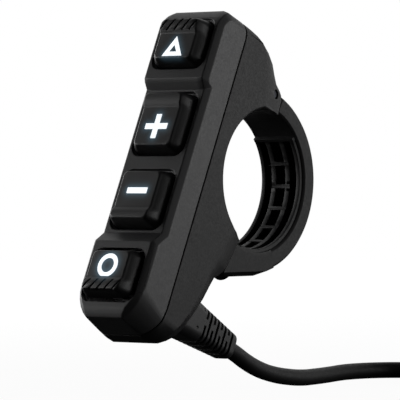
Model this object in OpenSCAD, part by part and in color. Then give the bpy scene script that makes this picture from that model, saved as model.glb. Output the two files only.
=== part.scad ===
// Handlebar remote: a four-button pod that closes round the bar with a hinged strap.
// The bar runs along X, its centre is the origin, and the buttons face -Y.
// The pod is drawn upright and then leans back: y is then the distance behind the bar's axis,
// z the height along the pod.

/* [Handlebar clamp] */
// Diameter of the handlebar
bar_d = 22.2; // [21.8:0.1:22.6]
// How far the pod leans back on the bar
lean = 24.65; // [20:0.05:28]
// Width of the strap
strap_w = 8.7; // [8:0.1:9.6]
// Strap thickness outside the gripping ladder
strap_t = 3; // [2.6:0.1:3.4]
// Height of the gripping ladder inside the strap
ladder_h = 0.55; // [0.4:0.05:0.8]
// Depth of the ladder's pockets
pocket_depth = 1.5; // [0.8:0.1:1.9]
// Angle from one rung to the next
rung_pitch = 19; // [15:0.5:24]
// Thickness of a rung along the strap
rung_t = 0.6; // [0.4:0.1:1]
// Gap between strap and pod at the split
split_gap = 0.5; // [0.3:0.1:0.8]
// Diameter of the hinge pin
pin_d = 1.5; // [1.2:0.1:1.8]
// Radial play of the strap on its pin
pin_play = 0.05; // [0.03:0.01:0.1]
// Radius of the strap's knuckle
knuckle_r = 1.75; // [1.5:0.05:1.9]
// Width of the strap's knuckle
knuckle_w = 6; // [5:0.1:6.6]
// Diameter of the clamp screw's thread
clamp_screw_d = 2; // [1.6:0.1:2.2]
// Diameter of the clamp screw's head
clamp_head_d = 3.9; // [3.6:0.1:4.2]
// Height of the clamp screw's head
clamp_head_h = 2.1; // [1.6:0.1:2.4]

/* [Pod] */
// Width of the pod
body_w = 13; // [12.6:0.1:14]
// Distance from the bar's axis to the front face between the steps
front_dist = 20.15; // [19.8:0.05:20.8]
// Distance from the bar's axis to the seam between the shells
seam_dist = 14.6; // [14.4:0.05:14.8]
// Height of the pod above the bar's axis
top_reach = 20.2; // [19.8:0.1:21]
// Height of the pod below the bar's axis
bottom_reach = 34; // [33.6:0.1:35]
// How far the upper end stands proud of the middle
top_step = 1.25; // [0.9:0.05:1.6]
// How far the lower end stands proud of the middle
bottom_step = 1.5; // [1:0.05:1.8]
// Thickness of the side walls
wall = 1.1; // [1:0.05:1.2]
// Thickness of the front wall
front_wall = 1.4; // [1.2:0.05:1.5]

/* [Buttons] */
// Width of a button's face
face_w = 7.6; // [7:0.1:8.2]
// Width of a button's foot
foot_w = 9.6; // [9:0.1:9.7]
// How far a button stands out of the pod
proud = 1.8; // [1.4:0.1:2.2]
// How much a button's lip stands above its face
lip_h = 0.5; // [0.2:0.05:0.7]
// Gap round a button
button_gap = 0.2; // [0.12:0.02:0.3]
// Travel of a button
travel = 0.5; // [0.3:0.05:0.55]
// Depth of the light inlays
inlay_depth = 0.6; // [0.3:0.05:0.8]
// Width of the grooves in the outer buttons' lips
groove_w = 0.3; // [0.2:0.02:0.4]

/* [Electronics] */
// Thickness of the circuit board
board_t = 1; // [0.8:0.1:1.2]
// Height of a key switch with its plunger
switch_h = 1.15; // [0.9:0.05:1.2]
// Thickness of the rubber sheet over the board
sheet_t = 0.5; // [0.4:0.05:0.6]

/* [Cable] */
// Diameter of the cable
cable_d = 2.7; // [2.4:0.1:3]
// Width of the strain relief where it leaves the pod
boot_root = 6.1; // [5.6:0.1:6.4]
// Width of the strain relief at its end
boot_end = 4.3; // [3.9:0.1:4.6]
// Distance of the strain relief's end behind the bar's axis
boot_reach = 8.4; // [7.8:0.1:9]
// Height of the cable's exit below the bar's axis
exit_drop = 25.6; // [25.2:0.1:26]
// Width of a slot in the strain relief
slot_w = 0.5; // [0.3:0.05:0.6]

/* [Hidden] */
$fn = 48;

// Clamp
bar_r = bar_d / 2;
rim_r = bar_r + ladder_h;
ring_r = rim_r + strap_t;
strap_half = strap_w / 2;
pad_r = ring_r + 2.55;
underside = ring_r + 0.7;
pad_from = -75;
split_angle = -96.5;
split_tilt = 6.5;
pin_y = -2.95;
pin_z = 13.65;
shoulder_y = 0.15;
ear_gap = 0.15;
screw_r = bar_r + 3.4;
head_seat = 2.6;
thread_play = 0.12;
screw_length = 7.2;
head_round = 0.6;
insert_d = clamp_screw_d + 1.2;
insert_length = 3.8;
band_edges = [0.95, 1.87, 3.2, 3.94];
end_half = band_edges[3] + 0.06;
pin_at = [pin_y, pin_z];
ear_back = shoulder_y - split_gap - 0.15;
ladder_start = 61;
ladder_end = -87;
first_rung = 38;
rung_deg = rung_t / bar_r * 180 / PI;

// The screw follows the strap's swing: it is square to the line from the pin to its thread's middle
function toward(angle) = [cos(angle), sin(angle)];
function angle_of(v) = atan2(v[1], v[0]);
split_mid = screw_r * toward(split_angle);
split_dir = split_angle - split_tilt;
split_in = split_mid - 6.5 * toward(split_dir);
split_out = split_mid + 2.7 * toward(split_dir);
grip_mid = (split_gap + insert_length) / 2;
first_dir = angle_of(split_mid - pin_at) + 90;
screw_dir = angle_of(split_mid - grip_mid * toward(first_dir) - pin_at) + 90;

// Pod
half = body_w / 2;
flat_half = half - 0.6;
top_front = front_dist + top_step;
bottom_front = front_dist + bottom_step;
ramp_top = top_reach / 2 - 2;
ramp_length = 2;
edge_r = 1.1;
low_r = 4;
low_front_r = half;
top_r = 1.6;
flange_r = 2.5;
side_spare = 0.2;
cavity_half = half - wall;
ledge_half = cavity_half - 0.8;
cavity_top = top_reach - 1.6;
cavity_bottom = -bottom_reach + 2.4;
rear_floor = bar_r + 1.8;
screw_z = 0.7 - 0.6 * bottom_reach;
ramp_bottom = screw_z + 1.4;
boss_r = 1.7;
housing_screw_r = 0.8;
housing_head = -8.2;
housing_length = 9.6;
hook_half = 2.5;
gasket_w = 0.4;
gasket_h = 0.7;

// Buttons: middle height, height of the face, step of the pod there, side of the lip, lip length.
// The outer ones follow the pod's ends, and the lower two leave room for the housing screw
BUTTONS = [
    [0.75 * top_reach - 1.45, top_reach / 2 - 3.3, top_step, 1, 2.5],
    [0.35, 9, 0, 1, 2.4],
    [(screw_z - 5.5) / 2, -screw_z - 11.35, 0, -1, 2.1],
    [(screw_z - bottom_reach + 1.7) / 2, screw_z + bottom_reach - 7.5, bottom_step, -1, 2.3],
];
corner_r = 0.8;
foot_r = 1.3;
foot_more = 0.9;
rim_more = 0.35;
rim_depth = 0.6;
flange_t = 0.7;
flange_lap = 0.7;
flange_gap = 0.05;
stem_r = 1;

// Electronics
board_front = -seam_dist - board_t;
board_half = cavity_half - 0.25;
board_top = cavity_top - 1.8;
board_bottom = -bottom_reach + 5.6;
switch_top = board_front - switch_h;
sheet_rim = 0.5;
header_z = 7 - bottom_reach;
neck_start = -10.6;
lead_start = neck_start - 0.05;
capacitor_x = 3;
capacitor_z = [2.5, 5, -11, -13.5];
sheet_front = -front_dist + front_wall + flange_gap + flange_t + travel + 0.1;

// Cable
cable_r = cable_d / 2;
boot_start = -6.9;
rib_from = -1.3;
rib_count = 8;
rib_pitch = (boot_reach - rib_from - 0.9) / rib_count;
floor_z = -34;
tie_t = 0.5;
route = [[0, -3, -26.8], [0, -0.5, -28], [0, 2, -29.3], [0, 5.5, -30.7], [0, 9, -31.6],
    [0, 13, -32.2], [-0.2, 17, -32.5], [-0.6, 21, -32.5], [-1, 25, -32.4], [-1.2, 29.5, -32.2],
    [-1, 33.8, -32.15], [-0.1, 37.4, -32.15], [1.9, 40.1, -32.15], [4.8, 41.6, -32.15],
    [8, 41.9, -32.15]];
coil_at = [9.8, 59.6];
coil_r = 5 * cable_d;
coil_half = 2.75;
coil_h = 5.05;
coil_z = floor_z + tie_t;
tie_w = 4;
// The last stretch rises over the coil to the plug, which lies on it
tail = [[1.5, 49, -26.9], [4.3, 47.3, -26.75], [7.6, 46.3, -26.5], [10.2, 46.4, -26.2],
    [12.3, 47.2, -25.9], [13.9, 48.5, -25.6], [14.9, 50, -25.3], [15.4, 51.5, -25.2]];
plug_r = 3.2;
plug_at = tail[len(tail) - 1];
plug_turn = 72;

// Drawing aids

module pod() {
    rotate([-lean, 0, 0]) children();
}

// A flat outline in (y, z), made w wide along X and centred
module across(w) {
    rotate([90, 0, 90]) translate([0, 0, -w / 2]) linear_extrude(w) children();
}

// A flat outline in (x, z), from y0 to y1
module along(y0, y1) {
    translate([0, y1, 0]) rotate([90, 0, 0]) linear_extrude(y1 - y0) children();
}

// A section in (distance from the bar's axis, x), swept round the bar between two angles
module round_bar(from, to) {
    rotate([90, 0, 90]) rotate([0, 0, from]) rotate_extrude(angle = to - from, $fn = 96) children();
}

module rounded(w, h, r) {
    square([w - 2 * r, h], center = true);
    square([w, h - 2 * r], center = true);
    for (x = [-1, 1], y = [-1, 1]) translate([x * (w / 2 - r), y * (h / 2 - r)]) circle(r);
}

module at_split() {
    translate([0, split_mid[0], split_mid[1]]) rotate([split_dir, 0, 0]) children();
}

// A cylinder from point a along (y, z) direction at angle, as long as l
module rod(a, angle, l, r) {
    translate([0, a[0], a[1]]) rotate([angle - 90, 0, 0]) cylinder(h = l, r = r);
}

// A closed skin through rings with equal numbers of points; its ends are flat
function sides_of(n, m) = [for (k = [0 : m - 2], i = [0 : n - 1])
    each [[k * n + i, k * n + (i + 1) % n, (k + 1) * n + (i + 1) % n],
        [k * n + i, (k + 1) * n + (i + 1) % n, (k + 1) * n + i]]];

module skin(rings) {
    n = len(rings[0]);
    m = len(rings);
    polyhedron(points = [for (ring = rings) each ring], faces = concat([[for (i = [n - 1 : -1 : 0]) i]],
        sides_of(n, m), [[for (i = [0 : n - 1]) (m - 1) * n + i]]), convexity = 8);
}

// Points of an arc
function arc(centre, r, from, to, steps) = [for (i = [0 : steps])
    let (a = from + (to - from) * i / steps) [centre[0] + r * cos(a), centre[1] + r * sin(a)]];

// A row of an outline holds a point at the pod's middle, the same point at its side, and how far
// out the middle reaches before the edge begins
function ring_at(rows, side, back, share_z) = [for (p = rows)
    [side * (p[4] - back), p[0] + (len(p) > 5 ? share_z : 0) * (p[2] - p[0]),
        p[1] + share_z * (p[3] - p[1])]];

// The ring at the side runs on past the pod's side, where the outline cuts it off
function side_ring(rows, side) = let (near = ring_at(rows, side, 0, 0.3)) [for (i = [0 : len(rows) - 1])
    let (p = rows[i], on = (half + side_spare - p[4]) / (half - p[4])) [side * (half + side_spare),
        near[i][1] + on * (p[2] - near[i][1]), near[i][2] + on * (p[3] - near[i][2])]];

function pod_rings(rows) = [
    side_ring(rows, 1), ring_at(rows, 1, 0, 0.3), ring_at(rows, 1, edge_r, 0),
    ring_at(rows, -1, edge_r, 0), ring_at(rows, -1, 0, 0.3), side_ring(rows, -1)];

// The pod's outline from the front, t inside its sides, with lower corners of radius low
module pod_outline(t, low) {
    right = concat(arc([half - low, -bottom_reach + low], low - t, -90, 0, 8),
        arc([half - top_r, top_reach - top_r], top_r - t, 0, 90, 5));
    polygon(concat(right, [for (p = reversed(right)) [-p[0], p[1]]]));
}

// All that lies within the rounded corners, which grow rounder towards the front
module rounded_corners() {
    hull() {
        along(-bottom_front - 0.31, -bottom_front - 0.3) pod_outline(edge_r + 0.05, low_front_r);
        along(-bottom_front + 0.75, -bottom_front + 0.85) pod_outline(0, low_front_r);
        along(-seam_dist, 8) pod_outline(0, low_r);
    }
}

// Shells

function screw_point(s) = split_mid + s * toward(screw_dir);

// The seam from the lower end up to the top. Its ends are straight from the side to the middle
function between(a, b, t) = a + t * (b - a);
seam_low = [[-seam_dist - 0.3, -bottom_reach + 3.3], [-seam_dist - 1.2, -bottom_reach + 0.3]];
seam_high = [[-seam_dist - 0.3, top_reach - 1.4], [-seam_dist - 1.2, top_reach]];
seam = [
    concat(seam_low[1], between(seam_low[0], seam_low[1], 0.52), [flat_half, 1]),
    concat(seam_low[0], seam_low[0], [flat_half]),
    [-seam_dist, -bottom_reach + 5.4, -seam_dist, -bottom_reach + 5.4, flat_half],
    [-seam_dist, top_reach - 2.6, -seam_dist, top_reach - 2.6, flat_half],
    concat(seam_high[0], seam_high[0], [flat_half]),
    concat(seam_high[1], between(seam_high[0], seam_high[1], 0.24), [flat_half, 1]),
];

front_rows = concat(seam, [
    [-top_front + 1.7, top_reach, -top_front + 2.6, top_reach - 1.3, flat_half],
    [-top_front + 1.05, top_reach - 0.7, -top_front + 1.8, top_reach - 1.8, flat_half],
    [-top_front + 0.4, top_reach - 1.7, -top_front + 1.25, top_reach - 2.7, flat_half],
    [-top_front, top_reach - 2.9, -top_front + 1.1, top_reach - 3.6, flat_half],
    [-top_front, ramp_top - 0.4, -top_front + 1.1, ramp_top - 0.1, flat_half],
    [-top_front + 0.35, ramp_top - 1, -top_front + 1.3, ramp_top - 0.6, flat_half],
    [-front_dist, ramp_top - ramp_length, -front_dist + 1.1, ramp_top - ramp_length + 0.9, flat_half],
    [-front_dist, ramp_bottom, -front_dist + 1.1, ramp_bottom, flat_half],
    [-bottom_front, ramp_bottom - ramp_length, -bottom_front + 1, ramp_bottom - ramp_length - 0.2,
        flat_half],
    [-bottom_front, -bottom_reach + 2.75, -bottom_front + 1, -bottom_reach + 3.9, flat_half],
    [-bottom_front + 0.3, -bottom_reach + 1.85, -bottom_front + 1.35, -bottom_reach + 3.1, flat_half],
    [-bottom_front + 0.7, -bottom_reach + 1.15, -bottom_front + 2.1, -bottom_reach + 2.65, flat_half],
]);

function reversed(list) = [for (i = [len(list) - 1 : -1 : 0]) list[i]];

rear_rows = concat(reversed(seam), [
    [-seam_dist + 1, -bottom_reach + 0.05, -seam_dist + 1, -bottom_reach + 1.6, 5.3],
    [-11.6, -bottom_reach + 0.85, -12.2, -bottom_reach + 2.5, 4.9],
    [-9.6, -bottom_reach + 2.1, -10.8, -bottom_reach + 4.1, 4.6],
    [-8, -bottom_reach + 4.1, -9.9, -bottom_reach + 5.9, 4.6],
    [-6.6, -26.6, -9.4, -26, 4.6],
    [-5.2, -22.9, -8.5, -22.9, 4.6],
    [-4.6, -20.7, -7.9, -20.4, 4.6],
    [-4.1, -19.1, -7.4, -18.4, 4.6],
    [split_out[0] - 0.7, split_out[1] - 0.9, -6.9, -16.8, 4.8],
    [split_out[0], split_out[1], -6.6, -15.6, 4.8],
    [split_in[0], split_in[1], -5.4, -11.6, 4.8],
    [split_in[0], pin_z - 4.6, -5.2, pin_z - 4.6, 4.8],
    [ear_back, pin_z - 2.4, -6.4, pin_z - 2.6, 4.9],
    [ear_back - 0.1, pin_z + 0.1, -6.9, pin_z - 0.7, 4.9],
    [ear_back - 0.5, pin_z + 0.75, -7.4, pin_z + 0.5, 4.9],
    [pin_y + 1.2, pin_z + 1.2, -7.7, pin_z + 1.3, 4.9],
    [pin_y - 0.1, pin_z + 1.6, -7.9, pin_z + 2.1, 5],
    [-4.2, pin_z + 2.75, -8.4, pin_z + 3, 5.1],
    [-5.4, pin_z + 4.1, -8.7, pin_z + 4.1, 5.2],
    [-7.1, top_reach - 1.3, -9.5, top_reach - 1.75, 5.3],
    [-9.2, top_reach - 0.55, -10.6, top_reach - 1.15, 5.5],
    [-11.6, top_reach - 0.15, -12, top_reach - 0.85, 5.7],
    [-seam_dist + 1.4, top_reach - 0.05, -seam_dist + 1.4, top_reach - 0.9, 5.8],
]);

module cavity(half_x, y0, y1, z0, z1) {
    translate([-half_x, y0, z0]) cube([2 * half_x, y1 - y0, z1 - z0]);
}

// One room behind the front wall, which follows its steps
module front_room() {
    lift = 0.35;
    intersection() {
        along(-bottom_front, 0) pod_outline(wall, half - 1);
        across(2 * cavity_half + 1) polygon([
            [-seam_dist + 1, cavity_top], [-top_front + front_wall, cavity_top],
            [-top_front + front_wall, ramp_top + lift],
            [-front_dist + front_wall, ramp_top - ramp_length + lift],
            [-front_dist + front_wall, ramp_bottom - lift],
            [-bottom_front + front_wall, ramp_bottom - ramp_length - lift],
            [-bottom_front + front_wall, cavity_bottom], [-seam_dist + 1, cavity_bottom]]);
    }
}

module well(b, more) {
    grow = 2 * (button_gap + more);
    rounded(foot_w + grow, b[1] + foot_more + grow, foot_r + button_gap + more);
}

module front_shell() {
    color("#333436") pod() difference() {
        union() {
            difference() {
                intersection() {
                    skin(pod_rings(front_rows));
                    rounded_corners();
                }
                front_room();
            }
            // Boss for the housing screw, and the hook at the top
            translate([0, -front_dist + 0.5, screw_z]) rotate([-90, 0, 0])
                cylinder(h = front_dist - seam_dist - 0.5, r = boss_r);
            cavity(hook_half, -seam_dist - 3.4, -seam_dist - 1.8, cavity_top - 1.6, cavity_top + 0.2);
            cavity(hook_half, -seam_dist - 1.9, -seam_dist + 1.4, cavity_top - 1.6, cavity_top - 0.9);
        }
        // Openings for the buttons, each in a shallow recess
        for (b = BUTTONS) translate([0, 0, b[0]]) {
            along(-bottom_front - 2, -front_dist + front_wall + 0.6) well(b, 0);
            along(-bottom_front - 2, rim_depth - front_dist - b[2]) well(b, rim_more);
        }
        translate([0, -seam_dist - 3.6, screw_z]) rotate([-90, 0, 0])
            cylinder(h = 5, r = housing_screw_r);
    }
}

// The rooms of the rear shell: shallow behind the board, deeper above and below the bar
module rear_rooms() {
    cavity(ledge_half, -seam_dist - 1, -rear_floor, cavity_bottom + 1, cavity_top - 0.8);
    cavity(ledge_half - 0.6, -seam_dist - 1, -10.6, 9.5, cavity_top - 1.6);
    cavity(ledge_half - 0.6, -seam_dist - 1, -9.7, cavity_bottom + 2.6, -exit_drop + 3.6);
}

module rear_shell() {
    color("#2c2d2f") pod() difference() {
        union() {
            difference() {
                intersection() {
                    skin(pod_rings(rear_rows));
                    rounded_corners();
                }
                rear_rooms();
            }
            // Column that carries the housing screw
            translate([0, -seam_dist, screw_z]) rotate([-90, 0, 0]) cylinder(h = 6, r = boss_r + 0.2);
        }
        // Seat of the bar, with relieved rims
        rotate([0, 90, 0]) cylinder(h = body_w + 2, r = bar_r, center = true, $fn = 96);
        for (s = [-1, 1]) scale([s, 1, 1]) round_bar(0, 360)
            polygon([[bar_r - 1, half + 1], [rim_r + 0.2, half + 1], [rim_r, half], [bar_r, half - 0.8],
                [bar_r - 1, half - 0.8]]);
        // Room for the strap's knuckle between the ears
        translate([0, pin_y, pin_z]) rotate([0, 90, 0])
            cylinder(h = knuckle_w + 2 * ear_gap, r = knuckle_r + 0.3, center = true);
        cavity(knuckle_w / 2 + ear_gap, pin_y - knuckle_r - 0.3, 3, pin_z, top_reach);
        cavity(knuckle_w / 2 + ear_gap, pin_y - 0.1, 3, pin_z - 4, pin_z + 1);
        // Pin hole
        translate([0, pin_y, pin_z]) rotate([0, 90, 0])
            cylinder(h = body_w + 2, r = pin_d / 2, center = true);
        // Gap at the split and the hole for the threaded insert
        at_split() translate([-half - 1, -9, -split_gap / 2]) cube([body_w + 2, 18, 9]);
        mouth = screw_point(-split_gap / 2 + 0.2);
        rod(mouth, screw_dir + 180, insert_length + 1.4, clamp_screw_d / 2 + 0.25);
        rod(mouth, screw_dir + 180, insert_length + 0.2, insert_d / 2);
        // Housing screw: head recess and shank
        translate([0, housing_head, screw_z]) rotate([-90, 0, 0]) cylinder(h = 7, r = 1.85);
        translate([0, -seam_dist - 1, screw_z]) rotate([-90, 0, 0])
            cylinder(h = 9, r = housing_screw_r + 0.1);
        // Opening and pocket for the strain relief
        translate([0, 0, -exit_drop]) {
            along(-11, -5) rounded(boot_root - 0.8, boot_root - 0.8, 1);
            along(boot_start, 5) rounded(boot_root + 0.96, boot_root + 0.96, 1.6);
        }
        // Groove for the seam gasket
        gasket(0);
    }
}

module gasket(trim) {
    w = 2 * cavity_half + wall + gasket_w - 2 * trim;
    z0 = cavity_bottom + 1.2;
    z1 = cavity_top + 0.1;
    translate([0, 0, (z0 + z1) / 2]) along(-seam_dist, -seam_dist + gasket_h) difference() {
        rounded(w, z1 - z0, 1.4);
        rounded(w - 2 * gasket_w, z1 - z0 - 2 * gasket_w, 1);
    }
}

module seam_gasket() {
    color("#18181a") pod() gasket(0);
}

module housing_screw() {
    color("#8e9094") pod() translate([0, housing_head, screw_z]) rotate([-90, 0, 0]) difference() {
        union() {
            cylinder(h = 1.3, r = 1.65);
            translate([0, 0, -housing_length]) cylinder(h = housing_length, r = housing_screw_r);
        }
        translate([0, 0, 0.5]) cylinder(h = 1, r = 0.75, $fn = 6);
    }
}

// Clamp

// Section of the strap outside its ladder: distance from the axis, then x
module strap_section() {
    e = 0.45;
    polygon([[rim_r, -strap_half + 0.3], [rim_r + 0.4, -strap_half], [ring_r - e, -strap_half],
        [ring_r, -strap_half + e], [ring_r, strap_half - e], [ring_r - e, strap_half],
        [rim_r + 0.4, strap_half], [rim_r, strap_half - 0.3]]);
}

module band(x0, x1) {
    translate([bar_r, x0]) square([ladder_h + 1, x1 - x0]);
}

// Raised bands, rungs between the middle two, and an end wall that the bands run into at each end
module ladder() {
    round_bar(ladder_end + rung_deg / 2, ladder_start - rung_deg / 2) for (s = [-1, 1]) {
        band(min(s * band_edges[0], s * band_edges[1]), max(s * band_edges[0], s * band_edges[1]));
        band(min(s * band_edges[2], s * band_edges[3]), max(s * band_edges[2], s * band_edges[3]));
    }
    for (a = [first_rung : -rung_pitch : ladder_end + 8]) round_bar(a - rung_deg / 2, a + rung_deg / 2)
        translate([bar_r, -band_edges[1]]) square([ladder_h + pocket_depth, 2 * band_edges[1]]);
    for (a = [ladder_start - rung_deg, ladder_end]) round_bar(a, a + rung_deg)
        translate([bar_r, -end_half]) square([ladder_h + pocket_depth, 2 * end_half]);
}

// The grooves between the bands
module ladder_pockets() {
    round_bar(ladder_end + rung_deg / 2, ladder_start - rung_deg / 2) {
        for (s = [-1, 1]) translate([bar_r, s > 0 ? band_edges[1] : -band_edges[2]])
            square([pocket_depth, band_edges[2] - band_edges[1]]);
        translate([bar_r, -band_edges[0]]) square([pocket_depth, 2 * band_edges[0]]);
    }
}

// The strap's thick lower end, before the bar and the split are cut from it
module strap_pad() {
    across(strap_w) intersection() {
        circle(pad_r, $fn = 96);
        rotate(lean) polygon([[0, 0], [ring_r * cos(pad_from), ring_r * sin(pad_from)],
            [(ring_r - underside * sin(-pad_from)) / cos(pad_from), -underside],
            [-pad_r, -underside], [-pad_r, -8]]);
    }
}

module clamp_strap() {
    color("#29292b") pod() difference() {
        union() {
            difference() {
                union() {
                    round_bar(split_angle - 6, 90) strap_section();
                    strap_pad();
                }
                rotate([0, 90, 0]) cylinder(h = strap_w + 2, r = rim_r, center = true, $fn = 96);
                ladder_pockets();
                // All that lies in front of the split
                at_split() translate([-half, -12, split_gap / 2 - 3 * pad_r])
                    cube([body_w, 24, 3 * pad_r]);
            }
            ladder();
            knuckle();
        }
        // Shoulders in front of the ears
        for (s = [-1, 1]) translate([s > 0 ? knuckle_w / 2 : -half - knuckle_w / 2, -20, 0])
            cube([half, 20 + shoulder_y, 30]);
        translate([0, pin_y, pin_z]) rotate([0, 90, 0])
            cylinder(h = body_w, r = pin_d / 2 + pin_play, center = true);
        // Screw hole and the pocket for its head
        rod(screw_point(-1), screw_dir, 12, clamp_screw_d / 2 + 0.2);
        rod(screw_point(head_seat), screw_dir, 12, clamp_head_d / 2 + 0.25);
        // Chamfers along the underside
        for (s = [-1, 1]) scale([s, 1, 1]) rotate([lean, 0, 0]) translate([strap_half, 0, -underside])
            rotate([0, 45, 0]) cube([1, 60, 1], center = true);
    }
}

module knuckle() {
    difference() {
        across(knuckle_w) {
            translate([pin_y, pin_z]) circle(knuckle_r);
            polygon([[pin_y - 0.2, pin_z + knuckle_r], [pin_y + 0.3, bar_r], [shoulder_y + 1.5, bar_r],
                [shoulder_y + 1.5, ring_r - 0.1], [shoulder_y, ring_r]]);
        }
        rotate([0, 90, 0]) cylinder(h = body_w, r = rim_r, center = true, $fn = 96);
    }
}

module hinge_pin() {
    color("#6f7276") pod() translate([0, pin_y, pin_z]) rotate([0, 90, 0])
        cylinder(h = 10, r = pin_d / 2, center = true);
}

// The clamp screw lies along its own axis, with the underside of its head at the origin
module at_screw() {
    seat = screw_point(head_seat);
    pod() translate([0, seat[0], seat[1]]) rotate([screw_dir - 90, 0, 0]) children();
}

module screw_head() {
    color("#5a5c60") at_screw() difference() {
        rotate_extrude() {
            square([clamp_head_d / 2, clamp_head_h - head_round]);
            square([clamp_head_d / 2 - head_round, clamp_head_h]);
            translate([clamp_head_d / 2 - head_round, clamp_head_h - head_round]) circle(head_round);
        }
        translate([0, 0, clamp_head_h - 1.2]) cylinder(h = 2, r = 0.9, $fn = 6);
    }
}

module screw_shank() {
    color("#5a5c60") at_screw() translate([0, 0, -screw_length])
        cylinder(h = screw_length, r = clamp_screw_d / 2);
}

module thread_insert() {
    start = screw_point(-split_gap / 2 - insert_length);
    color("#b08a3e") pod() translate([0, start[0], start[1]]) rotate([screw_dir - 90, 0, 0]) difference() {
        cylinder(h = insert_length, r = insert_d / 2);
        translate([0, 0, -1]) cylinder(h = insert_length + 2, r = clamp_screw_d / 2 + thread_play);
    }
}

// Buttons

function face_of(b) = -front_dist - b[2] - proud;
function base_of(b) = -front_dist - b[2] + front_wall;

// How far the face stands out at height z above the button's middle
function rise(b, z) = let (t = (b[3] * z - b[1] / 2 + b[4]) / 0.7) lip_h * max(0, min(1, t));

// Heights at which the face bends, between the corners
function bends(b) = [b[1] / 2 - b[4], b[1] / 2 - b[4] + 0.35, b[1] / 2 - b[4] + 0.7];
function heights(b) = b[3] > 0 ? bends(b) : -reversed(bends(b));

// Right half of a rounded rectangle from the top down, with a point at each bend
function half_outline(b, w, h, r) = concat(
    arc([w / 2 - r, h / 2 - r], r, 90, 0, 4),
    [for (z = reversed(heights(b))) [w / 2, z * (h - 2 * r) / (b[1] - 2 * corner_r)]],
    arc([w / 2 - r, -h / 2 + r], r, 0, -90, 4));

function outline(b, w, h, r) = let (right = half_outline(b, w, h, r))
    concat(right, [for (p = reversed(right)) [-p[0], p[1]]]);

// A ring of the cap: inset from the face's outline, depth below the face, and how much of the lip it has
function cap_ring(b, inset, depth, lip) = [for (p = outline(b, face_w - 2 * inset, b[1] - 2 * inset,
    corner_r)) [p[0], face_of(b) + depth - lip * rise(b, p[1]), b[0] + p[1]]];

function foot_ring(b, y) = [for (p = outline(b, foot_w, b[1] + foot_more, foot_r)) [p[0], y, b[0] + p[1]]];

// The cap: foot, sides that lean in, a rounded edge, and a face that the lip bends
module cap(b) {
    rings = [foot_ring(b, base_of(b) + 0.3), foot_ring(b, -front_dist - b[2]),
        cap_ring(b, -0.12, 0.55, 1), cap_ring(b, 0, 0.3, 1), cap_ring(b, 0.1, 0.1, 1),
        cap_ring(b, 0.3, 0, 1)];
    n = len(rings[0]);
    last = (len(rings) - 1) * n;
    polyhedron(points = [for (ring = rings) each ring], faces = concat([[for (i = [n - 1 : -1 : 0]) i]],
        sides_of(n, len(rings)), [for (i = [0 : n / 2 - 2])
            [last + i, last + i + 1, last + n - 2 - i, last + n - 1 - i]]), convexity = 6);
}

module lip_grooves(b) {
    for (k = [-2 : 2]) translate([k * 1.54 + 0.1, face_of(b) - lip_h, b[0] + b[3] * (b[1] / 2 - 0.85)])
        rotate([0, 35, 0]) cube([groove_w, 0.5, 2.8], center = true);
}

module button(b, grooves) {
    color("#2e2f31") pod() difference() {
        union() {
            cap(b);
            translate([0, 0, b[0]]) along(base_of(b) + flange_gap, base_of(b) + flange_gap + flange_t)
                rounded(2 * cavity_half - 0.5, b[1] + foot_more + 2 * flange_lap, flange_r);
            translate([0, base_of(b) + 0.3, b[0]]) rotate([-90, 0, 0])
                cylinder(h = switch_top - travel - 0.05 - base_of(b) - 0.3, r = stem_r);
        }
        if (grooves) lip_grooves(b);
        children();
    }
}

// A flat sign, sunk into the face of a button
module inlay(b) {
    translate([0, 0, b[0]]) along(face_of(b), face_of(b) + inlay_depth) children();
}

module ring_of(r, w) {
    difference() {
        circle(r);
        circle(r - w);
    }
}

// The outer signs are as tall as half their button
module triangle_sign() {
    h = BUTTONS[0][1] / 2;
    translate([0, -0.87 * h]) difference() {
        polygon([[-0.59 * h, 0], [0.59 * h, 0], [0, h]]);
        polygon([[-0.22 * h, 0.21 * h], [0.22 * h, 0.21 * h], [0, 0.56 * h]]);
    }
}

module plus_sign() {
    translate([0, -1.2]) {
        square([4.4, 0.95], center = true);
        square([1, 4.1], center = true);
    }
}

module minus_sign() {
    translate([0, 0.75]) square([4, 0.95], center = true);
}

module circle_sign() {
    h = BUTTONS[3][1] / 2;
    translate([0, 0.25 * h]) ring_of(0.575 * h, 0.22 * h);
}

module button_triangle() { button(BUTTONS[0], true) inlay(BUTTONS[0]) triangle_sign(); }
module button_plus() { button(BUTTONS[1], false) inlay(BUTTONS[1]) plus_sign(); }
module button_minus() { button(BUTTONS[2], false) inlay(BUTTONS[2]) minus_sign(); }
module button_circle() { button(BUTTONS[3], true) inlay(BUTTONS[3]) circle_sign(); }

module symbol_triangle() { color("#f4f9ff") pod() inlay(BUTTONS[0]) triangle_sign(); }
module symbol_plus() { color("#f4f9ff") pod() inlay(BUTTONS[1]) plus_sign(); }
module symbol_minus() { color("#f4f9ff") pod() inlay(BUTTONS[2]) minus_sign(); }
module symbol_circle() { color("#f4f9ff") pod() inlay(BUTTONS[3]) circle_sign(); }

// Electronics

module board_outline(half_x, margin) {
    difference() {
        translate([-half_x, board_bottom]) square([2 * half_x, board_top - board_bottom]);
        translate([0, screw_z]) circle(boss_r + margin);
    }
}

module circuit_board() {
    color("#1d5a3a") pod() along(board_front, -seam_dist) board_outline(board_half, 0.2);
}

// Rubber sheet over the switches; its rim stands on the board
module rubber_sheet() {
    color("#3a3b3d") pod() {
        along(sheet_front, sheet_front + sheet_t) difference() {
            board_outline(board_half, 0.3);
            for (b = BUTTONS) translate([0, b[0]]) rounded(5.4, 5.4, 0.6);
        }
        along(sheet_front + sheet_t, board_front) difference() {
            board_outline(board_half, 0.3);
            translate([-board_half + sheet_rim, board_bottom + sheet_rim])
                square([2 * (board_half - sheet_rim), board_top - board_bottom - 2 * sheet_rim]);
        }
    }
}

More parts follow.
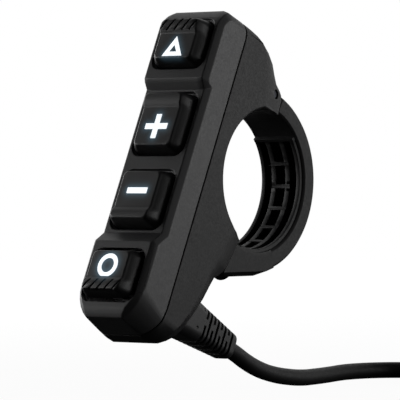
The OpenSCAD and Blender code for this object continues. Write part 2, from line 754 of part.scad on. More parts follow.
module key_switch(b) {
    color("#b9bcc0") pod() translate([0, 0, b[0]]) {
        along(board_front - switch_h + 0.25, board_front) square([3.2, 2.6], center = true);
        translate([0, switch_top, 0]) rotate([-90, 0, 0]) cylinder(h = 0.3, r = 0.75);
    }
}

module led(b) {
    color("#f2f0e2") pod() translate([0, 0, b[0] - b[3] * 2]) along(board_front - 0.6, board_front)
        square([1.6, 0.8], center = true);
}

module switch_triangle() { key_switch(BUTTONS[0]); }
module switch_plus() { key_switch(BUTTONS[1]); }
module switch_minus() { key_switch(BUTTONS[2]); }
module switch_circle() { key_switch(BUTTONS[3]); }
module led_triangle() { led(BUTTONS[0]); }
module led_plus() { led(BUTTONS[1]); }
module led_minus() { led(BUTTONS[2]); }
module led_circle() { led(BUTTONS[3]); }

module control_chip() {
    color("#1b1b1d") pod() translate([0, 0, -4]) along(-seam_dist, -seam_dist + 0.9) rounded(5, 5, 0.3);
}

module capacitors() {
    color("#a58a63") pod() for (x = [-capacitor_x, capacitor_x], z = capacitor_z)
        translate([x, 0, z]) along(-seam_dist, -seam_dist + 0.6) square([0.9, 1.7], center = true);
}

module lead_header() {
    color("#e8e4d8") pod() translate([0, 0, header_z]) along(-seam_dist, -seam_dist + 2)
        square([5, 2.2], center = true);
}

// Tube of a given radius along points: a ring of equal sides at each point
function unit(v) = v / norm(v);
function tangent(p, i) = unit(p[min(i + 1, len(p) - 1)] - p[max(i - 1, 0)]);
function tube_ring(p, i, r, sides, side) = let (t = tangent(p, i), u = unit(cross(t, side)), v = cross(u, t))
    [for (k = [0 : sides - 1]) p[i] + r * (cos(360 * k / sides) * u + sin(360 * k / sides) * v)];

module tube(points, r, sides, side) {
    skin([for (i = [0 : len(points) - 1]) tube_ring(points, i, r, sides, side)]);
}

module lead_wires() {
    color("#a33a32") pod() for (k = [-1.5 : 1.5]) tube([
        [k * 0.5, lead_start, -exit_drop], [k * 0.55, lead_start - 0.6, -exit_drop - 0.1],
        [k * 0.75, lead_start - 1.1, header_z + 0.6], [k * 0.9, lead_start - 1.5, header_z + 0.2],
        [k, -seam_dist + 2.12, header_z]], 0.22, 6, [1, 0, 0]);
}

// Cable

module boot_plate(w, r) {
    linear_extrude(0.01) rounded(w, w, r);
}

// Slots cut from all round, stopped by the middle and by a web that turns from slot to slot
module boot_slots() {
    for (k = [0 : rib_count - 1]) difference() {
        along(rib_from + k * rib_pitch, rib_from + k * rib_pitch + slot_w)
            square(boot_root + 2, center = true);
        translate([0, rib_from, 0]) rotate([-90, 0, 0]) cylinder(h = boot_reach * 2, r = cable_r + 0.35);
        if (k % 2 == 0) cavity(boot_root, 0, 2 * boot_reach, -0.2, 0.9);
        else cavity(0.8, -boot_reach, 2 * boot_reach, -boot_root, boot_root);
        if (k % 2 == 0) cavity(boot_root, -boot_reach, 1, -0.2, 0.9);
    }
}

module cable_boot() {
    color("#232325") pod() translate([0, 0, -exit_drop]) difference() {
        union() {
            hull() {
                translate([0, rib_from - 0.9, 0]) rotate([-90, 0, 0]) boot_plate(boot_root, 1.5, $fn = 32);
                translate([0, boot_reach - 0.4, 0]) rotate([-90, 0, 0]) boot_plate(boot_end, 1.2, $fn = 32);
                translate([0, boot_reach - 0.01, 0]) rotate([-90, 0, 0])
                    boot_plate(boot_end - 0.6, 1, $fn = 32);
            }
            hull() {
                translate([0, boot_start, 0]) rotate([-90, 0, 0]) boot_plate(boot_root + 0.9, 1.6, $fn = 32);
                translate([0, rib_from - 0.9, 0]) rotate([-90, 0, 0]) boot_plate(boot_root, 1.5, $fn = 32);
            }
            // Neck in the shell and the flange behind it
            along(neck_start, boot_start) rounded(boot_root - 0.8, boot_root - 0.8, 1);
        }
        boot_slots();
        translate([0, -20, 0]) rotate([-90, 0, 0]) cylinder(h = 40, r = cable_r);
    }
}

module cable_end() {
    color("#202022") pod() translate([0, neck_start, -exit_drop]) rotate([-90, 0, 0])
        cylinder(h = boot_reach - neck_start, r = cable_r);
}

module cable() {
    color("#202022") tube(route, cable_r, 8, [0, 0, 1]);
}

module cable_tail() {
    color("#202022") tube(tail, cable_r, 8, [0, 0, 1]);
}

// The turns of the coil as one ring
module coil_section(grow) {
    polygon([[-coil_half - grow, 0], [coil_half + grow, 0], [coil_half + grow, cable_d],
        [coil_half / 2 + grow, coil_h], [-coil_half / 2 - grow, coil_h], [-coil_half - grow, cable_d]]);
}

module cable_coil() {
    color("#202022") translate([coil_at[0], coil_at[1], coil_z]) rotate_extrude($fn = 64)
        translate([coil_r, 0]) coil_section(0);
}

module coil_tie() {
    play = 0.3;
    reach = coil_half + play + tie_t;
    color("#111112") translate([coil_at[0], coil_at[1], coil_z]) rotate([0, 0, 150])
        translate([coil_r, 0, 0]) rotate([90, 0, 0]) translate([0, 0, -tie_w / 2])
        linear_extrude(tie_w) difference() {
            union() {
                coil_section(play + tie_t);
                translate([-reach, -tie_t]) square([2 * reach, tie_t]);
                translate([-coil_half / 2 - play - tie_t, coil_h])
                    square([coil_half + 2 * play + 2 * tie_t, tie_t]);
            }
            coil_section(play);
        }
}

module at_plug() {
    translate(plug_at) rotate([0, 0, plug_turn]) rotate([0, 90, 0]) children();
}

module plug_body() {
    color("#252527") at_plug() rotate_extrude() polygon([[0, 0], [2, 0], [2.4, 4], [plug_r, 6],
        [plug_r, 12], [plug_r - 0.3, 13], [0, 13]]);
}

module plug_barrel() {
    color("#2f5f9e") at_plug() translate([0, 0, 13]) difference() {
        cylinder(h = 7, r = 2.7);
        translate([0, 0, 1]) cylinder(h = 7, r = 2.2);
    }
}

module plug_pins() {
    color("#c9a24a") at_plug() for (a = [0 : 72 : 288]) rotate([0, 0, a]) translate([1.2, 0, 14])
        cylinder(h = 4.4, r = 0.3);
}

front_shell();
rear_shell();
seam_gasket();
housing_screw();
clamp_strap();
hinge_pin();
screw_head();
screw_shank();
thread_insert();
button_triangle();
button_plus();
button_minus();
button_circle();
symbol_triangle();
symbol_plus();
symbol_minus();
symbol_circle();
rubber_sheet();
circuit_board();
switch_triangle();
switch_plus();
switch_minus();
switch_circle();
led_triangle();
led_plus();
led_minus();
led_circle();
control_chip();
capacitors();
lead_header();
lead_wires();
cable_boot();
cable_end();
cable();
cable_coil();
cable_tail();
coil_tie();
plug_body();
plug_barrel();
plug_pins();
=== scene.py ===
import math

import bmesh
import bpy
from mathutils import Matrix, Vector


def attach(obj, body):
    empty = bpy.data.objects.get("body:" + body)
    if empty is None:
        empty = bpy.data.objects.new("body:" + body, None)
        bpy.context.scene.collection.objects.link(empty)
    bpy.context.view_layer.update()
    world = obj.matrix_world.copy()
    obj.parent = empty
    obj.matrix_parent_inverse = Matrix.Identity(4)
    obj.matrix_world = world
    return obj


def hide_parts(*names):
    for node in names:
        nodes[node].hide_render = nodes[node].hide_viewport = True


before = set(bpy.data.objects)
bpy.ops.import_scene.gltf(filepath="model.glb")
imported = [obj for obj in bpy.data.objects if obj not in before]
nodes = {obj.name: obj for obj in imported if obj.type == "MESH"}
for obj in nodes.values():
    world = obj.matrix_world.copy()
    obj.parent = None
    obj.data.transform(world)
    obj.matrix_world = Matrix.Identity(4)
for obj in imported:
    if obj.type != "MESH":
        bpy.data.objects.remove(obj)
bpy.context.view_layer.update()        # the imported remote, in metres, with the bar's centre at the origin
mm = 0.001
podLean = 24.65         # degrees that the pod leans back from upright
print("frame loaded:", len(nodes), "nodes")


# Camera

camera = {
    "azimuth": 39.57,      # degrees from straight in front of the buttons
    "elevation": 0.38,     # degrees above level
    "distance": 569.52,    # mm from the bar's centre
    "left": 6.076,         # mm that the camera stands left of the line to the bar
    "down": 3.271,         # mm below it
    "sensor": 36.0,        # mm
    "lens": 319.7,         # mm
}


def viewAxes():
    azimuth, elevation = math.radians(camera["azimuth"]), math.radians(camera["elevation"])
    level = math.cos(elevation)
    back = Vector((math.sin(azimuth) * level, -math.cos(azimuth) * level, math.sin(elevation)))
    right = Vector((math.cos(azimuth), math.sin(azimuth), 0))
    return right, back.cross(right), back


def placeCamera():
    right, up, back = viewAxes()
    data = bpy.data.cameras.new("camera")
    data.sensor_width, data.lens = camera["sensor"], camera["lens"]
    data.clip_start, data.clip_end = 0.05, 20
    view = bpy.data.objects.new("camera", data)
    bpy.context.collection.objects.link(view)
    view.matrix_world = Matrix((right, up, back)).transposed().to_4x4()
    view.location = (camera["distance"] * back - camera["left"] * right - camera["down"] * up) * mm
    bpy.context.scene.camera = view


placeCamera()
print("camera placed")


# Finishes

def fromHex(code):
    # sRGB hex to the linear colour that a shader takes
    parts = [int(code[i:i + 2], 16) / 255 for i in (1, 3, 5)]
    return [p / 12.92 if p <= 0.04045 else ((p + 0.055) / 1.055) ** 2.4 for p in parts] + [1]


def addNode(tree, kind, inputs=None, **options):
    # inputs hold either plain values or sockets to link
    node = tree.nodes.new(kind)
    for option, value in options.items():
        setattr(node, option, value)
    for name, value in (inputs or {}).items():
        if isinstance(value, bpy.types.NodeSocket):
            tree.links.new(value, node.inputs[name])
        else:
            node.inputs[name].default_value = value
    return node


def newFinish(name):
    finish = bpy.data.materials.new(name)
    finish.use_nodes = True
    tree = finish.node_tree
    shader = tree.nodes["Principled BSDF"]
    place = addNode(tree, "ShaderNodeTexCoord").outputs["Object"]
    return finish, tree, shader, place


def perMetre(size):
    # texture scale for a pattern whose repeat is size mm
    return 1 / (size * mm)


def dress(pieces, finish):
    for piece in pieces:
        piece.data.materials.clear()
        piece.data.materials.append(finish)


# Nearly all of the remote is moulded: the mould's spark-eroded skin gives a fine even grain that breaks the
# gloss, and the melt's flow a faint cloudiness. Sizes are in mm, colours are sRGB. Where a look gives no gloss or
# metallic value, it is an ordinary one
finishes = {
    # glass-filled nylon: a dry satin that goes pale where it is seen at a low angle
    "frontShell": {"name": "nylon front shell", "pale": "#373738", "deep": "#313132", "cloud": 7, "roughness": 0.5,
                   "spread": 0.06, "grain": 0.3, "depth": 0.012, "gloss": 0.48},
    "rearShell": {"name": "nylon rear shell", "pale": "#151516", "deep": "#111112", "cloud": 7, "roughness": 0.56,
                  "spread": 0.06, "grain": 0.3, "depth": 0.012, "gloss": 0.36},
    "strap": {"name": "nylon strap", "pale": "#101011", "deep": "#0d0d0e", "cloud": 5, "roughness": 0.56,
              "spread": 0.06, "grain": 0.3, "depth": 0.012, "gloss": 0.31},
    # silicone keys: closer and smoother than the nylon, with a soft highlight
    "key": {"name": "silicone key", "pale": "#1f1f20", "deep": "#1b1b1c", "cloud": 4, "roughness": 0.45,
            "spread": 0.05, "grain": 0.22, "depth": 0.006},
    # unpolished rubbers: the sheet is dusty grey, the seal black and quite dull
    "sheet": {"name": "silicone sheet", "pale": "#2a2a2b", "deep": "#232324", "cloud": 4, "roughness": 0.6,
              "spread": 0.06, "grain": 0.3, "depth": 0.01},
    "seal": {"name": "nitrile seal", "pale": "#0c0c0c", "deep": "#080808", "cloud": 2, "roughness": 0.65,
             "spread": 0.05, "grain": 0.3, "depth": 0.01},
    # plasticised vinyl: a dull skin, with a soft shine on the bend relief, and the cable's jacket the dullest
    "boot": {"name": "vinyl bend relief", "pale": "#1d1d1e", "deep": "#171718", "cloud": 3, "roughness": 0.55,
             "spread": 0.06, "grain": 0.25, "depth": 0.012, "gloss": 0.6},
    "jacket": {"name": "vinyl cable jacket", "pale": "#0d0d0e", "deep": "#09090a", "cloud": 5, "roughness": 0.62,
               "spread": 0.07, "grain": 0.35, "depth": 0.014, "gloss": 0.38},
    # moulded nylon and acetal without glass in them: harder and shinier than the vinyl of the plug
    "tie": {"name": "nylon tie", "pale": "#131314", "deep": "#0e0e0f", "cloud": 4, "roughness": 0.42,
            "spread": 0.05, "grain": 0.3, "depth": 0.01},
    "plugBody": {"name": "overmoulded vinyl plug", "pale": "#202021", "deep": "#1a1a1b", "cloud": 5,
                 "roughness": 0.55, "spread": 0.06, "grain": 0.28, "depth": 0.014},
    "plugBarrel": {"name": "acetal plug barrel", "pale": "#2c5fa3", "deep": "#264f8c", "cloud": 4,
                   "roughness": 0.33, "spread": 0.05, "grain": 0.2, "depth": 0.005},
    # metals: turned or rolled, so their fine marks catch the light unevenly
    "steel": {"name": "zinc-plated steel", "pale": "#a6a8ac", "deep": "#8f9196", "cloud": 2, "roughness": 0.34,
              "spread": 0.1, "grain": 0.25, "depth": 0.006, "metallic": 1},
    "blackSteel": {"name": "black oxide steel", "pale": "#35363a", "deep": "#26272a", "cloud": 1.5,
                   "roughness": 0.42, "spread": 0.1, "grain": 0.2, "depth": 0.006, "metallic": 1},
    "brass": {"name": "turned brass", "pale": "#cfa853", "deep": "#b98f3f", "cloud": 1.5, "roughness": 0.3,
              "spread": 0.1, "grain": 0.2, "depth": 0.006, "metallic": 1},
    "gold": {"name": "gold-plated contact", "pale": "#e6b958", "deep": "#d6a643", "cloud": 1, "roughness": 0.24,
             "spread": 0.06, "grain": 0.15, "depth": 0.004, "metallic": 1},
    # inside: the solder mask is glossy and green over the board's weave, epoxy and ceramic are dull and fine in
    # grain, and the white mouldings and the wires' insulation have a soft shine
    "board": {"name": "solder mask", "pale": "#20643f", "deep": "#184e32", "cloud": 3, "roughness": 0.34,
              "spread": 0.08, "grain": 0.4, "depth": 0.01},
    "chip": {"name": "epoxy moulding", "pale": "#1c1c1e", "deep": "#151517", "cloud": 1.5, "roughness": 0.52,
             "spread": 0.06, "grain": 0.15, "depth": 0.008},
    "ceramic": {"name": "capacitor ceramic", "pale": "#ab9068", "deep": "#957a54", "cloud": 1, "roughness": 0.5,
                "spread": 0.06, "grain": 0.15, "depth": 0.008},
    "pale": {"name": "white moulding", "pale": "#ebe7d8", "deep": "#ddd8c6", "cloud": 2, "roughness": 0.45,
             "spread": 0.05, "grain": 0.2, "depth": 0.005},
    "red": {"name": "wire insulation", "pale": "#aa3b32", "deep": "#92302a", "cloud": 2, "roughness": 0.4,
            "spread": 0.06, "grain": 0.2, "depth": 0.006},
}


plain = {"gloss": 0.5, "metallic": 0}
noise = {"low": 0.3, "high": 0.7, "detail": 3, "roughness": 0.55, "bump": 0.6}    # the values that it mostly takes


def makeFinish(look):
    finish, tree, shader, place = newFinish(look["name"])
    cloud = addNode(tree, "ShaderNodeTexNoise", {"Vector": place, "Scale": perMetre(look["cloud"]),
                                                 "Detail": noise["detail"]})
    tone = addNode(tree, "ShaderNodeMix", {0: cloud.outputs["Fac"], 6: fromHex(look["deep"]),
                                           7: fromHex(look["pale"])}, data_type="RGBA")
    tree.links.new(tone.outputs[2], shader.inputs["Base Color"])
    grain = addNode(tree, "ShaderNodeTexNoise", {"Vector": place, "Scale": perMetre(look["grain"]),
                                                 "Detail": noise["detail"], "Roughness": noise["roughness"]})
    rub = addNode(tree, "ShaderNodeMapRange", {"Value": grain.outputs["Fac"], "From Min": noise["low"],
                                               "From Max": noise["high"],
                                               "To Min": look["roughness"] - look["spread"],
                                               "To Max": look["roughness"] + look["spread"]})
    tree.links.new(rub.outputs["Result"], shader.inputs["Roughness"])
    bump = addNode(tree, "ShaderNodeBump", {"Height": grain.outputs["Fac"], "Strength": noise["bump"],
                                            "Distance": look["depth"] * mm})
    tree.links.new(bump.outputs["Normal"], shader.inputs["Normal"])
    shader.inputs["Metallic"].default_value = look.get("metallic", plain["metallic"])
    shader.inputs["Specular IOR Level"].default_value = look.get("gloss", plain["gloss"])
    return finish


made = {key: makeFinish(look) for key, look in finishes.items()}

# The mould's two pins leave a small pit each in the bend relief's right side
pits = {"places": [(3.12, -13.95, -23.2), (2.95, -11.9, -20.45)], "radius": 0.36, "depth": 0.3}    # mm


def pitBoot():
    tree = made["boot"].node_tree
    shader = tree.nodes["Principled BSDF"]
    place = addNode(tree, "ShaderNodeTexCoord").outputs["Object"]
    smooth = shader.inputs["Normal"].links[0].from_socket
    for pit in pits["places"]:
        away = addNode(tree, "ShaderNodeVectorMath", {0: place, 1: Vector(pit) * mm}, operation="DISTANCE")
        dip = addNode(tree, "ShaderNodeMapRange", {"Value": away.outputs["Value"], "From Max": pits["radius"] * mm},
                      interpolation_type="SMOOTHSTEP")
        smooth = addNode(tree, "ShaderNodeBump", {"Height": dip.outputs["Result"], "Distance": pits["depth"] * mm,
                                                  "Normal": smooth}).outputs["Normal"]
    tree.links.new(smooth, shader.inputs["Normal"])


pitBoot()

# Each sign is an acrylic light guide let into its key. Its light leaks a little into the silicone round it
signs = {
    # middle height on the pod, distance of the face from the bar's axis, middle lines of the sign, half its stroke
    "triangle": {"height": 13.7, "face": 23.2, "halfStroke": 0.3,
                 "lines": [(-1.38, -2.6, 1.38, -2.6), (1.38, -2.6, 0, -0.31), (0, -0.31, -1.38, -2.6)]},
    "plus": {"height": 0.35, "face": 21.95, "halfStroke": 0.45,
             "lines": [(-1.75, -1.2, 1.75, -1.2), (0, -2.8, 0, 0.4)]},
    "minus": {"height": -12.6, "face": 21.95, "halfStroke": 0.45, "lines": [(-1.55, 0.75, 1.55, 0.75)]},
    "circle": {"height": -26, "face": 23.45, "halfStroke": 0.37, "ring": (0.85, 1.58)},
}
glow = {
    "colour": "#7fabc4",
    "strength": 0.17,      # at the sign's edge
    "reach": 2.15,         # mm
    "fall": 4,             # power of its fading
    "inside": -0.65,       # share of its fading inside the ring, where more light gathers
    "sign": "#f4faff",
    "guide": "#f6fbff",
    "guideRoughness": 0.3,
    "dimmest": 0.92,       # a guide is a little brighter over its light than at its ends
    "brightest": 1.04,
    "cloud": 3,            # mm
}


# How far a point is from the sign's middle lines, in mm
def signDistance(tree, place, sign):
    turned = addNode(tree, "ShaderNodeMapping", {"Vector": place, "Rotation": (math.radians(podLean), 0, 0),
                                                 "Scale": (1 / mm, 1 / mm, 1 / mm),
                                                 "Location": (0, sign["face"], -sign["height"])}).outputs[0]
    if "ring" in sign:
        middle, radius = sign["ring"]
        spot = addNode(tree, "ShaderNodeVectorMath", {0: turned, 1: (0, 0, middle)},
                       operation="SUBTRACT").outputs[0]
        flat = addNode(tree, "ShaderNodeVectorMath", {0: spot, 1: (1, 0, 1)}, operation="MULTIPLY").outputs[0]
        out = addNode(tree, "ShaderNodeVectorMath", {0: flat}, operation="LENGTH").outputs["Value"]
        out = addNode(tree, "ShaderNodeMath", {0: out, 1: radius}, operation="SUBTRACT").outputs[0]
        inward = addNode(tree, "ShaderNodeMath", {0: out, 1: glow["inside"]}, operation="MULTIPLY").outputs[0]
        out = addNode(tree, "ShaderNodeMath", {0: out, 1: inward}, operation="MAXIMUM").outputs[0]
        deep = addNode(tree, "ShaderNodeSeparateXYZ", {0: spot}).outputs["Y"]
        both = addNode(tree, "ShaderNodeCombineXYZ", {"X": out, "Y": deep}).outputs[0]
        return addNode(tree, "ShaderNodeVectorMath", {0: both}, operation="LENGTH").outputs["Value"]
    nearest = None
    for fromX, fromZ, toX, toZ in sign["lines"]:
        along = (toX - fromX, 0, toZ - fromZ)
        square = along[0] ** 2 + along[2] ** 2
        spot = addNode(tree, "ShaderNodeVectorMath", {0: turned, 1: (fromX, 0, fromZ)},
                       operation="SUBTRACT").outputs[0]
        share = addNode(tree, "ShaderNodeVectorMath", {0: spot, 1: along}, operation="DOT_PRODUCT").outputs["Value"]
        share = addNode(tree, "ShaderNodeMath", {0: share, 1: 1 / square}, operation="MULTIPLY",
                        use_clamp=True).outputs[0]
        foot = addNode(tree, "ShaderNodeVectorMath", {0: along, 3: share}, operation="SCALE").outputs[0]
        away = addNode(tree, "ShaderNodeVectorMath", {0: spot, 1: foot}, operation="DISTANCE").outputs["Value"]
        if nearest is not None:
            away = addNode(tree, "ShaderNodeMath", {0: nearest, 1: away}, operation="MINIMUM").outputs[0]
        nearest = away
    return nearest


def litKey(name):
    finish = made["key"].copy()
    finish.name = "silicone key, lit by its " + name
    tree = finish.node_tree
    shader = tree.nodes["Principled BSDF"]
    place = addNode(tree, "ShaderNodeTexCoord").outputs["Object"]
    away = signDistance(tree, place, signs[name])
    near = addNode(tree, "ShaderNodeMapRange", {"Value": away, "From Min": signs[name]["halfStroke"],
                                                "From Max": signs[name]["halfStroke"] + glow["reach"],
                                                "To Min": 1, "To Max": 0}).outputs["Result"]
    leak = addNode(tree, "ShaderNodeMath", {0: near, 1: glow["fall"]}, operation="POWER").outputs[0]
    leak = addNode(tree, "ShaderNodeMath", {0: leak, 1: glow["strength"]}, operation="MULTIPLY").outputs[0]
    tree.links.new(leak, shader.inputs["Emission Strength"])
    shader.inputs["Emission Color"].default_value = fromHex(glow["colour"])
    return finish


def litSign():
    finish, tree, shader, place = newFinish("lit acrylic sign")
    shader.inputs["Base Color"].default_value = fromHex(glow["guide"])
    shader.inputs["Roughness"].default_value = glow["guideRoughness"]
    shader.inputs["Emission Color"].default_value = fromHex(glow["sign"])
    cloud = addNode(tree, "ShaderNodeTexNoise", {"Vector": place, "Scale": perMetre(glow["cloud"]), "Detail": 1})
    light = addNode(tree, "ShaderNodeMapRange", {"Value": cloud.outputs["Fac"], "From Min": noise["low"],
                                                 "From Max": noise["high"], "To Min": glow["dimmest"],
                                                 "To Max": glow["brightest"]})
    tree.links.new(light.outputs["Result"], shader.inputs["Emission Strength"])
    return finish


dressing = {
    "frontShell": ["front_shell"], "rearShell": ["rear_shell"], "strap": ["clamp_strap"],
    "sheet": ["rubber_sheet"], "seal": ["seam_gasket"], "boot": ["cable_boot"], "jacket": ["cable_end"],
    "tie": ["coil_tie"], "plugBody": ["plug_body"], "plugBarrel": ["plug_barrel"], "gold": ["plug_pins"],
    "steel": ["housing_screw"] + ["switch_" + sign for sign in signs],
    "blackSteel": ["hinge_pin", "screw_head", "screw_shank"], "brass": ["thread_insert"],
    "board": ["circuit_board"], "chip": ["control_chip"], "ceramic": ["capacitors"],
    "pale": ["lead_header"] + ["led_" + sign for sign in signs], "red": ["lead_wires"],
}
for key, names in dressing.items():
    dress([nodes[name] for name in names], made[key])
acrylic = litSign()
for sign in signs:
    dress([nodes["symbol_" + sign]], acrylic)
    dress([nodes["button_" + sign]], litKey(sign))
print("finishes made:", len(finishes) + 1 + len(signs))


# Mouldings have rounded edges: each is a merged copy of its solid with a fine bevel, and replaces it
mouldings = {
    # node: body, slot, width of the rounded edge in mm, least turn of an edge that is rounded in degrees
    "front_shell": ("pod", "shell_black", 0.15, 26),
    "rear_shell": ("pod", "shell_rear", 0.15, 40),
    "clamp_strap": ("strap", "strap_black", 0.03, 26),
    "cable_boot": ("pod", "boot_black", 0.1, 26),
    "button_triangle": ("key_triangle", "button_rubber", 0.06, 40),
    "button_plus": ("key_plus", "button_rubber", 0.12, 40),
    "button_minus": ("key_minus", "button_rubber", 0.12, 40),
    "button_circle": ("key_circle", "button_rubber", 0.06, 40),
}
edge = {"flat": 0.5, "merge": 0.002, "segments": 2, "profile": 0.5, "evenness": 100}    # degrees, mm
notFlattened = ["clamp_strap"]    # its ladder keeps its small faces, which stay cleaner at the rungs

# The shells meet in a narrow shadow gap, so the front one stops short of the seam
seam = {
    "distance": 14.6,      # mm from the bar's axis
    "gap": 0.16,           # mm
    "within": 0.1,         # mm
    # height on the pod, and how much further out the seam lies there, in mm
    "bends": [(-33.7, 1.2), (-30.7, 0.3), (-28.6, 0), (17.6, 0), (18.8, 0.3), (20.2, 1.2)],
}


def seamShift():
    lean = math.radians(podLean)
    return Vector((0, -math.cos(lean), math.sin(lean))) * seam["gap"] * mm


def onSeam(point):
    spot = Matrix.Rotation(math.radians(podLean), 3, "X") @ point / mm
    bends = seam["bends"]
    out = bends[0][1] if spot.z < 0 else bends[-1][1]
    for (low, first), (high, last) in zip(bends, bends[1:]):
        if low <= spot.z <= high:
            out = first + (last - first) * (spot.z - low) / (high - low)
    return abs(spot.y + seam["distance"] + out) < seam["within"]


def roundEdges(name, body, width, turn):
    node = nodes[name]
    bm = bmesh.new()
    bm.from_mesh(node.data)
    bmesh.ops.remove_doubles(bm, verts=bm.verts, dist=edge["merge"] * mm)
    if name == "front_shell":
        bmesh.ops.translate(bm, verts=[vert for vert in bm.verts if onSeam(vert.co)], vec=seamShift())
    if name not in notFlattened:
        bmesh.ops.dissolve_limit(bm, angle_limit=math.radians(edge["flat"]), verts=bm.verts, edges=bm.edges,
                                 use_dissolve_boundaries=False)
    for face in bm.faces:
        face.smooth = True
    mesh = bpy.data.meshes.new(name + "_rounded")
    bm.to_mesh(mesh)
    bm.free()
    piece = bpy.data.objects.new(name + "_rounded", mesh)
    bpy.context.collection.objects.link(piece)
    dress([piece], node.data.materials[0])
    bevel = piece.modifiers.new("edge", "BEVEL")
    bevel.width, bevel.segments, bevel.profile = width * mm, edge["segments"], edge["profile"]
    bevel.limit_method, bevel.angle_limit = "ANGLE", math.radians(turn)
    bevel.offset_type, bevel.miter_outer = "OFFSET", "MITER_SHARP"
    bevel.use_clamp_overlap = False
    even = piece.modifiers.new("even", "WEIGHTED_NORMAL")    # keeps the broad faces flat to the eye
    even.mode, even.weight, even.keep_sharp = "FACE_AREA", edge["evenness"], True
    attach(piece, body)
    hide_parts(name)


for name, (body, slot, width, turn) in mouldings.items():
    roundEdges(name, body, width, turn)
print("edges rounded:", len(mouldings))


# Cable: one length from the bend relief down to the surface, three turns of coil, and up to the plug
cable = {
    "diameter": 2.7,       # mm
    "length": 320,         # mm
    "route": [(0, -3, -26.8), (0, -0.5, -28), (0, 2, -29.3), (0, 5.5, -30.7), (0, 9, -31.6), (0, 13, -32.2),
              (-0.2, 17, -32.5), (-0.6, 21, -32.5), (-1, 25, -32.4), (-1.2, 29.5, -32.2), (-1, 33.8, -32.15),
              (-0.1, 37.4, -32.15), (1.9, 40.1, -32.15), (4.8, 41.6, -32.15)],
    "tail": [(1.5, 49, -26.9), (4.3, 47.3, -26.75), (7.6, 46.3, -26.5), (10.2, 46.4, -26.2), (12.3, 47.2, -25.9),
             (13.9, 48.5, -25.6), (14.9, 50, -25.3), (15.4, 51.5, -25.2)],
    "coilMiddle": (9.8, 59.6),
    "coilHeight": -32.15,  # height of the lowest turns
    "entry": -96,          # degrees at which the cable joins the coil
    "turns": 3,
    "leaves": 50,          # degrees short of full turns at which it leaves again
    "step": 14,            # degrees between points
    "fineness": 6,         # steps between two points, and round a quarter of the jacket
}
lanes = {"free": 17.75, "outer": 14.85, "inner": 12.15, "top": 13.5}    # radii in mm
rise = {"top": 2.36, "over": 2.75, "lift": 0.42}    # mm above the turns below
change = {
    # degrees past the entry between which the cable changes lane or height
    "toOuter": (22, 70), "toInner": (-12, 42), "toTop": (-56, -2), "climb": (-66, -22),
    "liftOn": (-30, 0), "liftOff": (10, 50), "over": (-118, -56),
}
passStart = 160            # degrees before the entry


def ease(angle, start, end):
    share = min(1, max(0, (angle - start) / (end - start)))
    return share * share * (3 - 2 * share)


# Each pass of the entry moves the cable one lane on: in from outside, outer to inner, inner up to the top,
# and from the top over the others to the plug
def coilPoint(angle):
    passed = math.floor((angle + passStart) / 360)
    a = angle - 360 * passed
    height = 0
    if passed == 0:
        radius = lanes["free"] + (lanes["outer"] - lanes["free"]) * ease(a, *change["toOuter"])
    elif passed == 1:
        radius = lanes["outer"] + (lanes["inner"] - lanes["outer"]) * ease(a, *change["toInner"])
    elif passed == 2:
        radius = lanes["inner"] + (lanes["top"] - lanes["inner"]) * ease(a, *change["toTop"])
        height = rise["top"] * ease(a, *change["climb"])
        height += rise["lift"] * (ease(a, *change["liftOn"]) - ease(a, *change["liftOff"]))
    else:
        radius = lanes["top"]
        height = rise["top"] + rise["over"] * ease(a, *change["over"])
    turn = math.radians(angle + cable["entry"])
    x, y = cable["coilMiddle"]
    return (x + radius * math.cos(turn), y + radius * math.sin(turn), cable["coilHeight"] + height)


def cablePoints():
    swept = 360 * cable["turns"] - cable["leaves"]
    steps = round(swept / cable["step"])
    coil = [coilPoint(swept * i / steps) for i in range(steps + 1)]
    return cable["route"] + coil + cable["tail"]


# The curve is drawn twice: bare, into a line mesh that is not used further, and round, for the jacket
def layCable():
    data = bpy.data.curves.new("cable", "CURVE")
    data.dimensions = "3D"
    data.use_fill_caps = True
    data.resolution_u = cable["fineness"]
    points = cablePoints()
    spline = data.splines.new("BEZIER")
    spline.bezier_points.add(len(points) - 1)
    for bend, point in zip(spline.bezier_points, points):
        bend.co = Vector(point) * mm
        bend.handle_left_type = bend.handle_right_type = "AUTO"
    drawn = bpy.data.objects.new("cable_curve", data)
    bpy.context.collection.objects.link(drawn)
    line = bpy.data.meshes.new_from_object(drawn.evaluated_get(bpy.context.evaluated_depsgraph_get()))
    data.bevel_depth = cable["diameter"] / 2 * mm
    data.bevel_resolution = cable["fineness"]
    bpy.context.view_layer.update()
    jacket = bpy.data.meshes.new_from_object(drawn.evaluated_get(bpy.context.evaluated_depsgraph_get()))
    bpy.data.objects.remove(drawn)
    for face in jacket.polygons:
        face.use_smooth = True
    piece = bpy.data.objects.new("cable_run", jacket)
    bpy.context.collection.objects.link(piece)
    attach(piece, "pod")
    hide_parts("cable", "cable_coil", "cable_tail")
    dress([piece], made["jacket"])


layCable()
print("cable laid:", cable["length"], "mm")


# Studio

studio = {
    "floor": -34.0,        # mm
    "floorSize": 900,      # mm
    "fill": 0.05,          # light from all round
    "floorColour": "#464646",
    "white": "#ffffff",
    # painted shade: round the remote the floor's white stays a little below full, so a faint grey pool is painted
    # under it beside the real shadow that the matte part keeps
    "lift": 0.955,         # how far the floor is lifted to white round the remote, for the camera
    "paintedShadeFades": (0.08, 0.4),    # metres from the bar's middle over which the lift grows to full white
    "floorWhite": (0.06, 0.2),   # metres behind the bar over which gloss and glass come to see the white floor
    "skyWhite": (0.3, 0.7),      # the same for the background, in shares of the direction that point away
}


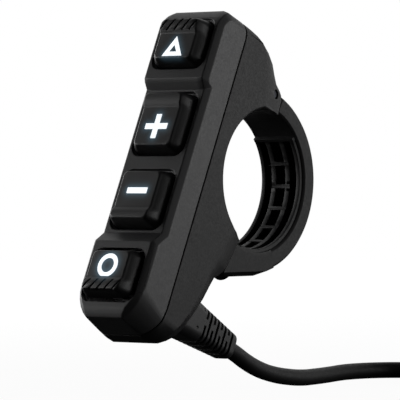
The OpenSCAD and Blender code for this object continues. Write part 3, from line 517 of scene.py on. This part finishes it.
def whereSeen(tree, direction, near, far):
    # the white shows to the camera, and in gloss and glass only where it stands behind the remote
    right, up, back = viewAxes()
    away = addNode(tree, "ShaderNodeVectorMath", {0: direction, 1: (-back.x, -back.y, 0)},
                   operation="DOT_PRODUCT").outputs["Value"]
    behind = addNode(tree, "ShaderNodeMapRange", {"Value": away, "From Min": near, "From Max": far}).outputs[0]
    ray = addNode(tree, "ShaderNodeLightPath").outputs
    bent = addNode(tree, "ShaderNodeMath", {0: ray["Is Glossy Ray"], 1: ray["Is Transmission Ray"]},
                   operation="ADD").outputs[0]
    bent = addNode(tree, "ShaderNodeMath", {0: bent, 1: behind}, operation="MULTIPLY").outputs[0]
    return addNode(tree, "ShaderNodeMath", {0: ray["Is Camera Ray"], 1: bent}, operation="ADD",
                   use_clamp=True).outputs[0]


def makeFloor():
    bm = bmesh.new()
    bmesh.ops.create_circle(bm, cap_ends=True, segments=96, radius=studio["floorSize"] * mm)
    bmesh.ops.translate(bm, verts=bm.verts, vec=(0, 0, studio["floor"] * mm))
    mesh = bpy.data.meshes.new("floor")
    bm.to_mesh(mesh)
    bm.free()
    floor = bpy.data.objects.new("floor", mesh)
    bpy.context.collection.objects.link(floor)
    finish, tree, shader, place = newFinish("pale floor")
    tree.nodes.remove(shader)
    matte = addNode(tree, "ShaderNodeBsdfDiffuse", {"Color": fromHex(studio["floorColour"])})
    # Painted shade: the camera sees the floor's white lowered round the bar's middle, darker under the remote,
    # growing to full white further out; the object's real shadow falls in the matte part
    far = addNode(tree, "ShaderNodeVectorMath", {0: place}, operation="LENGTH").outputs["Value"]
    liftStart, liftEnd = studio["paintedShadeFades"]
    lift = addNode(tree, "ShaderNodeMapRange", {"Value": far, "From Min": liftStart, "From Max": liftEnd,
                                                "To Min": studio["lift"], "To Max": 1.0})
    white = addNode(tree, "ShaderNodeEmission", {"Color": fromHex(studio["white"]),
                                                 "Strength": lift.outputs["Result"]})
    both = addNode(tree, "ShaderNodeAddShader", {0: matte.outputs[0], 1: white.outputs[0]})
    mix = addNode(tree, "ShaderNodeMixShader", {0: whereSeen(tree, place, *studio["floorWhite"]),
                                                1: matte.outputs[0], 2: both.outputs[0]})
    tree.links.new(mix.outputs[0], tree.nodes["Material Output"].inputs["Surface"])
    dress([floor], finish)


def makeWorld():
    world = bpy.data.worlds.new("studio")
    bpy.context.scene.world = world
    world.use_nodes = True
    tree = world.node_tree
    fill = tree.nodes["Background"]
    fill.inputs["Color"].default_value = fromHex(studio["white"])
    fill.inputs["Strength"].default_value = studio["fill"]
    white = addNode(tree, "ShaderNodeBackground", {"Color": fromHex(studio["white"]), "Strength": 1.0})
    direction = addNode(tree, "ShaderNodeTexCoord").outputs["Generated"]
    mix = addNode(tree, "ShaderNodeMixShader", {0: whereSeen(tree, direction, *studio["skyWhite"]),
                                                1: fill.outputs[0], 2: white.outputs[0]})
    tree.links.new(mix.outputs[0], tree.nodes["World Output"].inputs["Surface"])


# Two wide softboxes beside the remote, a little behind it, rake its sides and leave its front dark
lamps = {
    # name: degrees round from the camera, degrees up, distance mm, width mm, height mm, watts
    "rightBox": (86, 8, 500, 440, 210, 0.9),
    "leftBox": (-115, 6, 500, 560, 320, 2.05),
}


def placeLamps():
    right, up, back = viewAxes()
    for name, (turn, lift, distance, width, height, watts) in lamps.items():
        data = bpy.data.lights.new(name, "AREA")
        data.shape = "RECTANGLE"
        data.size, data.size_y, data.energy = width * mm, height * mm, watts
        lamp = bpy.data.objects.new(name, data)
        bpy.context.collection.objects.link(lamp)
        turn, lift = math.radians(turn), math.radians(lift)
        toward = (back * math.cos(turn) + right * math.sin(turn)) * math.cos(lift) + Vector((0, 0, math.sin(lift)))
        lamp.location = toward * distance * mm
        lamp.rotation_euler = toward.to_track_quat("Z", "Y").to_euler()


makeFloor()
makeWorld()
placeLamps()
bpy.context.scene.view_settings.view_transform = "Standard"
print("studio ready")

bpy.context.view_layer.update()
